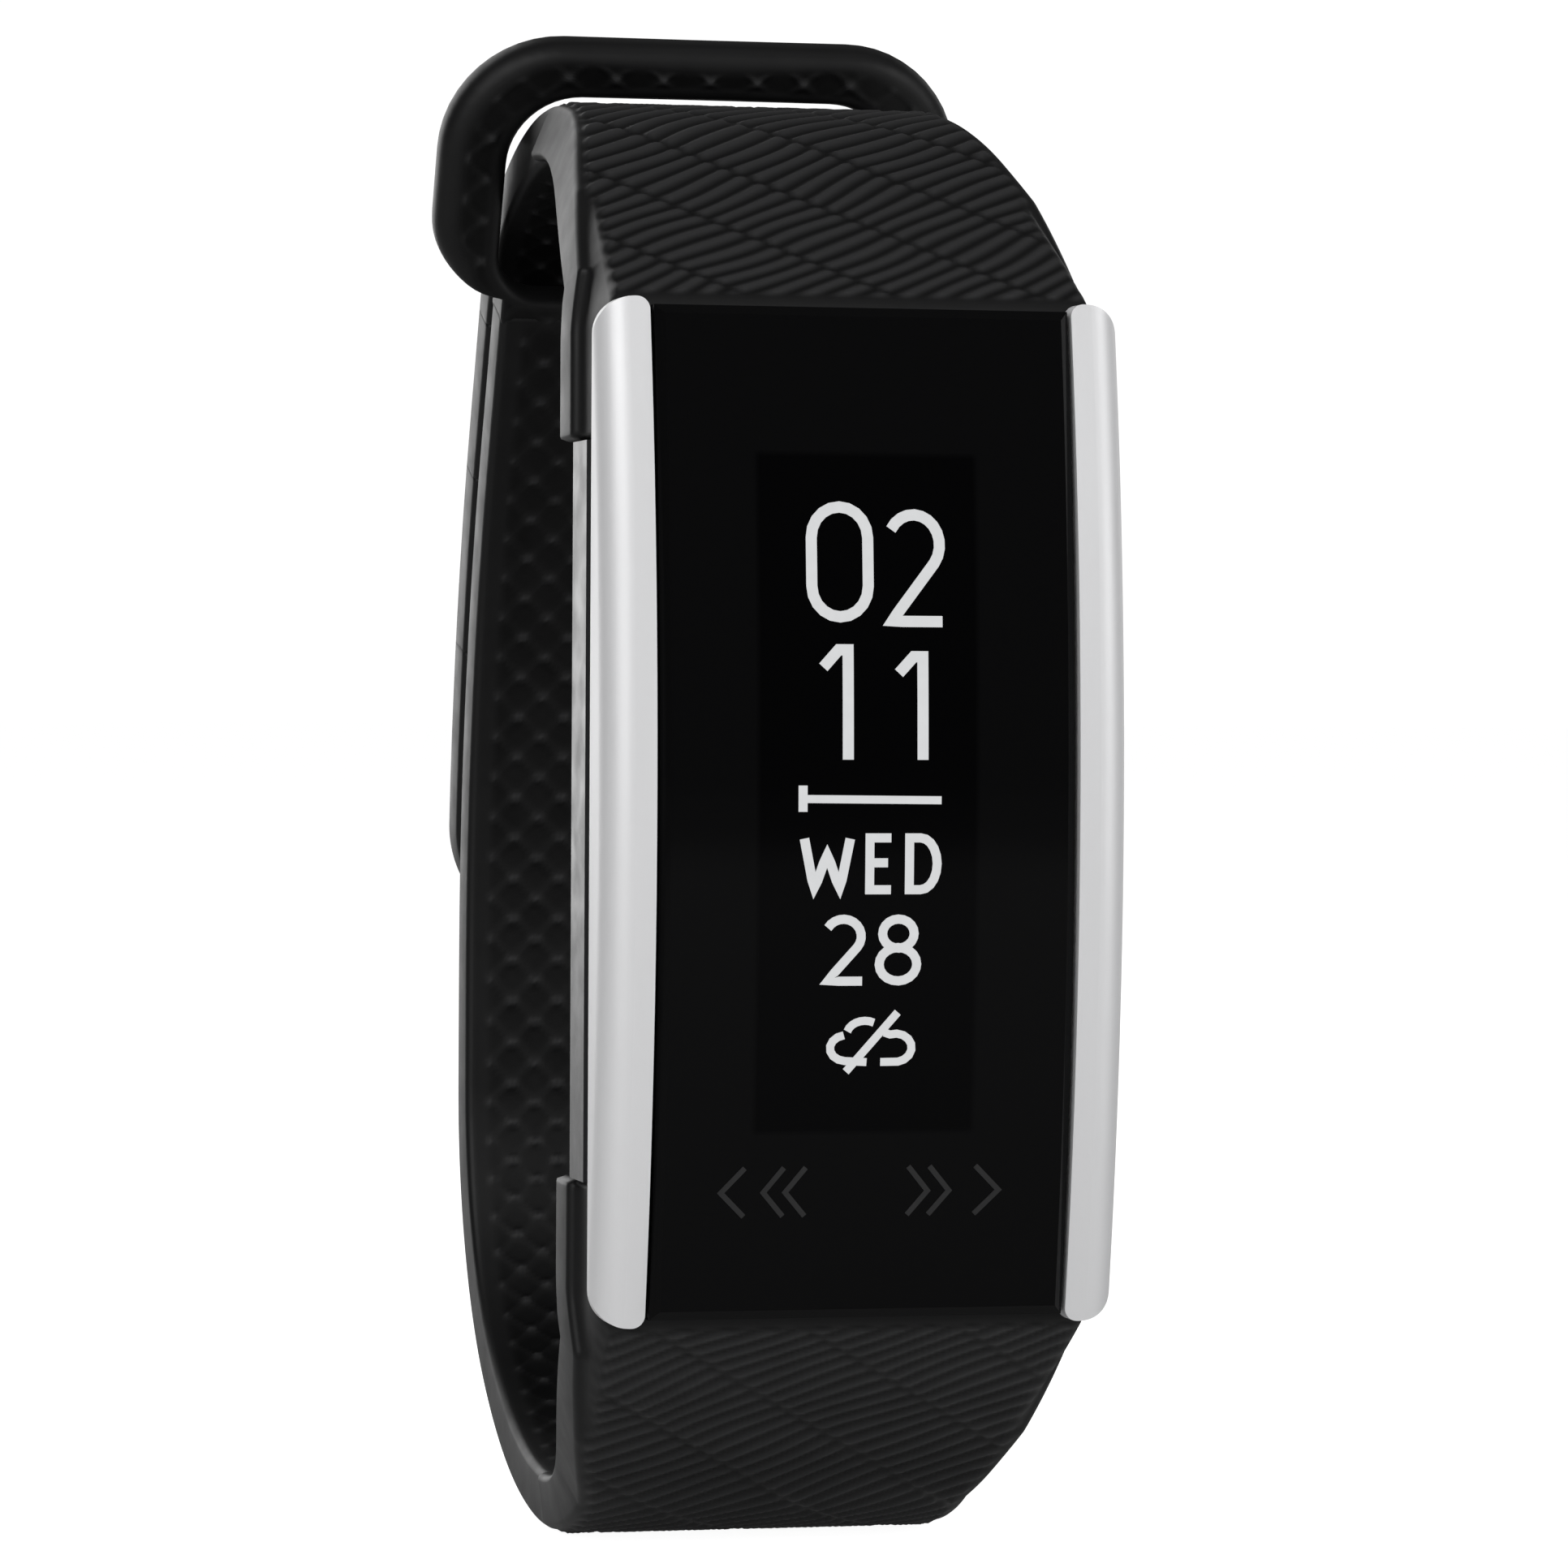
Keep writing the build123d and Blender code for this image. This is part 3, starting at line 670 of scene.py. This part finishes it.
def lens_material():
    """Black-backed glass with the slightly darker window of the display behind it."""
    material, tree, shader = material_nodes("cover_glass")
    where = tree.nodes.new("ShaderNodeTexCoord")
    split = tree.nodes.new("ShaderNodeSeparateXYZ")
    link(tree, where.outputs["Object"], split.inputs["Vector"])
    masks = []
    for axis, centre, half in (("X", -0.1, 4.22), ("Z", 0.76, 12.7)):
        shift = tree.nodes.new("ShaderNodeMath")
        shift.operation = "SUBTRACT"
        link(tree, split.outputs[axis], shift.inputs[0])
        shift.inputs[1].default_value = centre * MM
        size = tree.nodes.new("ShaderNodeMath")
        size.operation = "ABSOLUTE"
        link(tree, shift.outputs[0], size.inputs[0])
        masks.append(spread(tree, size.outputs[0], 1.0, 0.0, (half - 0.12) * MM, (half + 0.12) * MM))
    both = tree.nodes.new("ShaderNodeMath")
    both.operation = "MULTIPLY"
    link(tree, masks[0], both.inputs[0])
    link(tree, masks[1], both.inputs[1])
    window = mix_colour(tree, both.outputs[0], (0.0034, 0.0034, 0.0036), (0.0012, 0.0012, 0.0014))
    link(tree, window, shader.inputs["Base Color"])
    link(tree, spread(tree, noise(tree, 90.0), 0.05, 0.09), shader.inputs["Roughness"])
    shader.inputs["Specular IOR Level"].default_value = 0.06
    return material


def glow(name, colour, strength):
    """Lit segments: slightly uneven light."""
    material, tree, shader = material_nodes(name)
    shade = mix_colour(tree, noise(tree, 2500.0), tuple(0.9 * c for c in colour), colour)
    link(tree, shade, shader.inputs["Emission Color"])
    shader.inputs["Emission Strength"].default_value = strength
    shader.inputs["Base Color"].default_value = (0.02, 0.02, 0.02, 1.0)
    shader.inputs["Roughness"].default_value = 0.4
    return material


def rubber_material():
    """Moulded rubber with painted shade and highlight: a little lighter on the crests of its relief than in
    the grooves.
    """
    material = surface("black_rubber", (0.0006, 0.0006, 0.0007), (0.0012, 0.0012, 0.0013), (0.44, 0.52),
                       9000.0, 0.003, level=0.25)
    tree = material.node_tree
    shader = tree.nodes["Principled BSDF"]
    base = shader.inputs["Base Color"].links[0].from_socket
    relief = tree.nodes.new("ShaderNodeAttribute")
    relief.attribute_name = "relief"
    # painted shade and highlight: the base colour runs from the near-black mottle in the grooves to lighter
    # grey on the crests, read from the relief attribute
    painted_relief_shade = tree.nodes.new("ShaderNodeMix")
    painted_relief_shade.data_type = "RGBA"
    painted_relief_shade.inputs[7].default_value = (0.03, 0.03, 0.031, 1.0)
    link(tree, relief.outputs["Fac"], painted_relief_shade.inputs[0])
    link(tree, base, painted_relief_shade.inputs[6])
    link(tree, painted_relief_shade.outputs[2], shader.inputs["Base Color"])
    return material


rubber = rubber_material()
FINISHES = {
    "cover_glass": lens_material(),
    "satin_silver": surface("satin_silver", (0.8, 0.8, 0.81), (0.85, 0.85, 0.86), (0.44, 0.5),
                            14000.0, 0.0012, metal=0.25, stretch=(1.0, 1.0, 0.12)),
    "black_case": surface("moulded_case", (0.009, 0.009, 0.01), (0.014, 0.014, 0.015),
                          (0.3, 0.42), 12000.0, 0.004),
    "seal": surface("seal_rubber", (0.04, 0.04, 0.04), (0.06, 0.06, 0.06), (0.6, 0.75), 7000.0, 0.004),
    "steel": surface("turned_steel", (0.5, 0.5, 0.51), (0.62, 0.62, 0.63), (0.22, 0.36),
                     20000.0, 0.0015, metal=1.0, stretch=(0.1, 1.0, 1.0)),
    "sensor_glass": surface("sensor_glass", (0.006, 0.006, 0.007), (0.012, 0.011, 0.013),
                            (0.04, 0.08), 3000.0, 0.0002),
    "gold_contact": surface("gold_contact", (0.78, 0.58, 0.26), (0.9, 0.7, 0.36),
                            (0.18, 0.3), 16000.0, 0.001, metal=1.0),
    "display_light": surface("display_glass", (0.012, 0.013, 0.016), (0.02, 0.021, 0.024),
                             (0.06, 0.12), 5000.0, 0.0003),
    "black_tape": surface("black_tape", (0.008, 0.008, 0.008), (0.014, 0.014, 0.014),
                          (0.55, 0.7), 9000.0, 0.003),
    "copper": surface("bare_copper", (0.62, 0.33, 0.2), (0.78, 0.46, 0.3),
                      (0.25, 0.4), 9000.0, 0.001, metal=1.0),
    "circuit_board": surface("solder_mask", (0.012, 0.06, 0.03), (0.02, 0.09, 0.045),
                             (0.28, 0.42), 4000.0, 0.003),
    "chip_black": surface("chip_resin", (0.014, 0.014, 0.015), (0.022, 0.022, 0.023),
                          (0.5, 0.65), 15000.0, 0.003),
    "battery_foil": surface("battery_foil", (0.5, 0.5, 0.52), (0.64, 0.64, 0.66),
                            (0.28, 0.42), 900.0, 0.02, metal=1.0),
    "green_led": surface("green_led", (0.16, 0.72, 0.24), (0.3, 0.9, 0.4), (0.12, 0.2), 5000.0, 0.001),
    "dark_stud": surface("dark_stud", (0.05, 0.05, 0.052), (0.075, 0.075, 0.078), (0.22, 0.34),
                         15000.0, 0.0012, metal=1.0),
}
for entry in frame["record"]["subparts"]:
    finish = FINISHES.get(entry["material_slot"])
    if finish:
        node = nodes[entry["node"]]
        node.data.materials.clear()
        node.data.materials.append(finish)

# ---------------------------------------------------------------- straps

upper_rows = rooted_ribbon(UPPER, 1, TAIL_START - 3.0, 0.16, 112)
upper_rows.round_end(True, 0.3)
fade = smooth((upper_rows.s - upper_rows.s[0] - WEAVE_START) / WEAVE_FADE)
grip_fade = smooth((upper_rows.s - GRIP_START) / GRIP_FADE)
upper_skin = build_ribbon("upper_strap_skin", upper_rows, 1, rubber, plain_rows=(fade, grip_fade))
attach(upper_skin, "tracker")
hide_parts("upper_strap")

lower_end = HEAD_END - HEAD_LENGTH - 0.8
lower_rows = rooted_ribbon(LOWER, -1, lower_end, 0.19, 86)
lower_rows.round_end(True, 0.3)
fade = smooth((lower_rows.s - lower_rows.s[0] - WEAVE_START) / WEAVE_FADE)
fade = fade * smooth((lower_end - lower_rows.s) / END_FADE)
grip_fade = smooth((lower_rows.s - GRIP_START) / GRIP_FADE) * smooth((lower_end - lower_rows.s) / END_FADE)
lower_skin = build_ribbon("lower_strap_skin", lower_rows, -1, rubber, HOLES, (fade, grip_fade))
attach(lower_skin, "tracker")
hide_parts("lower_strap")

head = build_head("slotted_head", rubber)
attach(head, "tracker")
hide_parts("lower_strap")

cuts = [TAIL_START - 3.0, TAIL_START + 4.1, TAIL_START + 12.1, TAIL_END]
bodies = ["tracker", "tail_root", "tail_middle", "tail_tip"]
for index, joint_s in enumerate(TAIL_JOINTS):
    first, last = cuts[index], cuts[index + 1]
    rows = plain_ribbon(UPPER, first, last, 0.16, 112, 1)
    fade = np.ones(len(rows.s))
    if index == 2:
        rows.round_end(False, EDGE)
        fade = smooth((TAIL_END - rows.s - 0.8) / 0.4)
    skin = build_ribbon(f"tail_skin_{index}", rows, 1, rubber, plain_rows=(fade, fade))
    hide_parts(bodies[index + 1])
    a, b = (edge_point(UPPER, joint_s + reach, 1) for reach in (-2.4, 2.4))
    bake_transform(skin)

# ---------------------------------------------------------------- display

LENS_RADIUS = (19.0 ** 2 + 1.52 ** 2) / (2 * 1.52)
lit = glow("lit_segments", (0.82, 0.83, 0.84), 0.82)
marks = surface("printed_marks", (0.0085, 0.0085, 0.009), (0.012, 0.012, 0.0125), (0.3, 0.5), 9000.0, 0.0005)


def lens_depth(z):
    return LENS_RADIUS - sqrt(LENS_RADIUS ** 2 - z * z)


def stroke_ribbon(line, width, closed):
    """Left and right sides of a stroke of constant width, mitred at its corners."""
    line = np.array(line, float)
    count = len(line)
    left, right = [], []
    for i in range(count):
        before = line[i] - line[i - 1] if i or closed else line[1] - line[0]
        after = line[(i + 1) % count] - line[i] if i < count - 1 or closed else before
        before, after = before / np.linalg.norm(before), after / np.linalg.norm(after)
        normal = np.array([-before[1] - after[1], before[0] + after[0]])
        normal /= max(np.linalg.norm(normal), 1e-6)
        reach = width / 2 / max(0.55, abs(normal[0] * -after[1] + normal[1] * after[0]))
        left.append(line[i] + normal * reach)
        right.append(line[i] - normal * reach)
    return left, right


def dense(line, closed, step=0.35):
    """The same stroke with points close enough to follow the lens."""
    ends = line + [line[0]] if closed else line
    made = []
    for p, q in zip(ends, ends[1:]):
        parts = max(1, int(np.hypot(q[0] - p[0], q[1] - p[1]) / step))
        made += [(p[0] + (q[0] - p[0]) * k / parts, p[1] + (q[1] - p[1]) * k / parts) for k in range(parts)]
    return made if closed else made + [line[-1]]


def build_strokes(name, strokes, material, proud=0.02, sink=0.03):
    """Thin raised strokes that follow the lens's front, each (points, width, closed)."""
    points, faces = [], []
    for line, width, closed in strokes:
        line = dense(line, closed)
        left, right = stroke_ribbon(line, width, closed)
        base = len(points)
        for lift in (-proud, sink):
            for x, z in left + right:
                points.append((x, lens_depth(z) + lift, z))
        n = len(left)
        for i in range(n if closed else n - 1):
            j = (i + 1) % n
            a, b, c, d = base + i, base + j, base + n + j, base + n + i
            faces.append([a, b, c, d])
            faces.append([d + 2 * n, c + 2 * n, b + 2 * n, a + 2 * n])
            faces.append([a, a + 2 * n, b + 2 * n, b])
            faces.append([d, c, c + 2 * n, d + 2 * n])
        if not closed:
            for i in (0, n - 1):
                faces.append([base + i, base + n + i, base + 3 * n + i, base + 2 * n + i])
    piece = new_piece(name, points, faces, [material], range(len(faces)))
    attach(piece, "tracker")
    return piece


def curve(cx, cz, rx, rz, first, last, count=15):
    angles = np.radians(np.linspace(first, last, count))
    return [(cx + rx * cos(a), cz + rz * sin(a)) for a in angles]


def in_box(shapes, x0, x1, z0, z1, width):
    """Strokes drawn in a unit box, fitted to a box on the lens with their ink inside it."""
    made = []
    for line, closed in shapes:
        fitted = [(x0 + width / 2 + (x1 - x0 - width) * u, z0 + width / 2 + (z1 - z0 - width) * v)
                  for u, v in line]
        made.append((fitted, width, closed))
    return made


ZERO = [(curve(0.5, 0.72, 0.5, 0.28, 0, 180, 11) + curve(0.5, 0.28, 0.5, 0.28, 180, 360, 11), True)]
TWO = [(curve(0.46, 0.72, 0.5, 0.28, 150, -38, 13) + [(0.02, 0.0), (1.0, 0.0)], False)]
ONE = [([(0.0, 0.84), (0.62, 1.0), (1.0, 1.0), (1.0, 0.0)], False)]
EIGHT = [(curve(0.5, 0.765, 0.42, 0.235, 0, 345, 20), True), (curve(0.5, 0.27, 0.5, 0.27, 0, 345, 20), True)]
LETTER_W = [([(0.0, 1.0), (0.22, 0.0), (0.5, 0.72), (0.78, 0.0), (1.0, 1.0)], False)]
LETTER_E = [([(1.0, 1.0), (0.0, 1.0), (0.0, 0.0), (1.0, 0.0)], False), ([(0.0, 0.52), (0.85, 0.52)], False)]
LETTER_D = [([(0.0, 0.0), (0.0, 1.0)] + curve(0.4, 0.5, 0.6, 0.5, 90, -90, 11), True)]
CLOUD = [(curve(0.2, 0.4, 0.2, 0.22, 100, 265, 8) + [(0.45, 0.16)], False),
         (curve(0.42, 0.62, 0.22, 0.24, 165, 60, 8), False),
         ([(0.62, 0.16)] + curve(0.8, 0.4, 0.2, 0.24, -80, 110, 9) + [(0.66, 0.66)], False),
         ([(0.2, 0.0), (0.82, 1.0)], False)]

strokes = in_box(ZERO, -2.47, 0.12, 7.15, 11.68, 0.42)
strokes += in_box(TWO, 0.55, 2.97, 7.0, 11.42, 0.42)
strokes += in_box(ONE, -2.05, -0.68, 1.82, 6.34, 0.42)
strokes += in_box(ONE, 0.86, 2.2, 1.82, 6.1, 0.42)
strokes += [([(-2.6, 0.56), (2.71, 0.52)], 0.3, False), ([(-2.62, 1.06), (-2.62, 0.08)], 0.34, False)]
strokes += in_box(LETTER_W, -2.74, -0.62, -3.03, -0.74, 0.36)
strokes += in_box(LETTER_E, -0.21, 0.95, -3.0, -0.72, 0.34)
strokes += in_box(LETTER_D, 1.32, 2.73, -3.0, -0.72, 0.34)
strokes += in_box(TWO, -1.83, -0.11, -6.42, -3.76, 0.34)
strokes += in_box(EIGHT, 0.2, 1.99, -6.42, -3.76, 0.34)
strokes += in_box(CLOUD, -1.61, 1.84, -9.8, -7.28, 0.3)
build_strokes("lit_readout", strokes, lit)

chevrons = []
for x0, x1 in ((-4.6, -5.5), (-3.1, -3.87), (-2.26, -3.03), (1.7, 2.47), (2.52, 3.3), (4.3, 5.23)):
    chevrons.append(([(x0, -13.25), (x1, -14.18), (x0, -15.08)], 0.2, False))
build_strokes("touch_marks", chevrons, marks, proud=0.012)

# ---------------------------------------------------------------- studio

FLOOR_Z = cad_box[0].z - 0.15 * MM


def stage_floor():
    """A wide pale floor that stays bright to the horizon."""
    size = 6.0
    mesh = bpy.data.meshes.new("studio_floor")
    corners = [(-size, -size), (size, -size), (size, size), (-size, size)]
    mesh.from_pydata([(x, y, FLOOR_Z) for x, y in corners], [], [(0, 1, 2, 3)])
    floor = bpy.data.objects.new("studio_floor", mesh)
    bpy.context.scene.collection.objects.link(floor)
    material, tree, shader = material_nodes("pale_floor")
    shade = mix_colour(tree, noise(tree, 30.0), (0.53, 0.53, 0.53), (0.57, 0.57, 0.57))
    link(tree, shade, shader.inputs["Base Color"])
    shader.inputs["Roughness"].default_value = 0.9
    shader.inputs["Specular IOR Level"].default_value = 0.1
    seen = tree.nodes.new("ShaderNodeLightPath")
    lift = tree.nodes.new("ShaderNodeMath")
    lift.operation = "MULTIPLY"
    lift.inputs[1].default_value = 0.95
    link(tree, seen.outputs["Is Camera Ray"], lift.inputs[0])
    sheen = tree.nodes.new("ShaderNodeMath")
    sheen.operation = "MULTIPLY_ADD"
    sheen.inputs[1].default_value = 0.12
    link(tree, seen.outputs["Is Glossy Ray"], sheen.inputs[0])
    link(tree, lift.outputs[0], sheen.inputs[2])
    shader.inputs["Emission Color"].default_value = (1.0, 1.0, 1.0, 1.0)
    link(tree, sheen.outputs[0], shader.inputs["Emission Strength"])
    mesh.materials.append(material)


def studio_world():
    world = bpy.data.worlds.new("studio")
    bpy.context.scene.world = world
    world.use_nodes = True
    tree = world.node_tree
    tree.nodes.clear()
    seen = tree.nodes.new("ShaderNodeLightPath")
    backdrop = tree.nodes.new("ShaderNodeBackground")
    backdrop.inputs["Strength"].default_value = 1.05
    fill = tree.nodes.new("ShaderNodeBackground")
    fill.inputs["Color"].default_value = (1.0, 1.0, 1.0, 1.0)
    backdrop.inputs["Color"].default_value = (1.0, 1.0, 1.0, 1.0)
    fill.inputs["Strength"].default_value = 0.09
    mix = tree.nodes.new("ShaderNodeMixShader")
    out = tree.nodes.new("ShaderNodeOutputWorld")
    link(tree, seen.outputs["Is Camera Ray"], mix.inputs[0])
    link(tree, fill.outputs[0], mix.inputs[1])
    link(tree, backdrop.outputs[0], mix.inputs[2])
    link(tree, mix.outputs[0], out.inputs["Surface"])


def softbox(name, direction, distance, width, height, radiance):
    """A square soft light that faces the object from the given direction."""
    lamp = bpy.data.lights.new(name, "AREA")
    lamp.shape = "RECTANGLE"
    lamp.size, lamp.size_y = width, height
    lamp.energy = radiance * pi * width * height
    holder = bpy.data.objects.new(name, lamp)
    bpy.context.scene.collection.objects.link(holder)
    towards = Vector(direction).normalized()
    holder.location = towards * distance
    holder.rotation_mode = "QUATERNION"
    holder.rotation_quaternion = towards.to_track_quat("Z", "Y")


stage_floor()
studio_world()
softbox("key_left", (-0.5, -0.78, 0.45), 0.6, 0.5, 0.5, 2.8)
softbox("key_top", (0.1, -0.3, 0.95), 0.6, 0.6, 0.4, 0.3)
softbox("fill_right", (0.74, -0.62, 0.25), 0.6, 0.4, 0.5, 2.2)
softbox("rim_left", (-0.34, 0.94, 0.0), 0.62, 0.42, 1.1, 2.3)
softbox("rim_right", (0.75, 0.62, 0.2), 0.7, 0.35, 0.5, 0.9)

# ---------------------------------------------------------------- camera

CAMERA_DISTANCE = 236.0
CAMERA_SIDE = 0.2304        # radians to the left of square on
CAMERA_RISE = 0.0148
CAMERA_ROLL = 0.0056
TARGET = (-3.353, row(0.0), 1.117)

camera_data = bpy.data.cameras.new("camera")
camera_data.sensor_width = 36.0
camera_data.lens = 145.5
camera_data.clip_start = 0.01
camera = bpy.data.objects.new("camera", camera_data)
bpy.context.scene.collection.objects.link(camera)
back = Vector((-sin(CAMERA_SIDE) * cos(CAMERA_RISE), -cos(CAMERA_SIDE) * cos(CAMERA_RISE), sin(CAMERA_RISE)))
camera.location = (Vector(TARGET) + back * CAMERA_DISTANCE) * MM
camera.rotation_mode = "QUATERNION"
level = (-back).to_track_quat("-Z", "Y")
camera.rotation_quaternion = level @ Quaternion((0.0, 0.0, 1.0), CAMERA_ROLL)
bpy.context.scene.camera = camera
bpy.context.scene.view_settings.view_transform = "Standard"
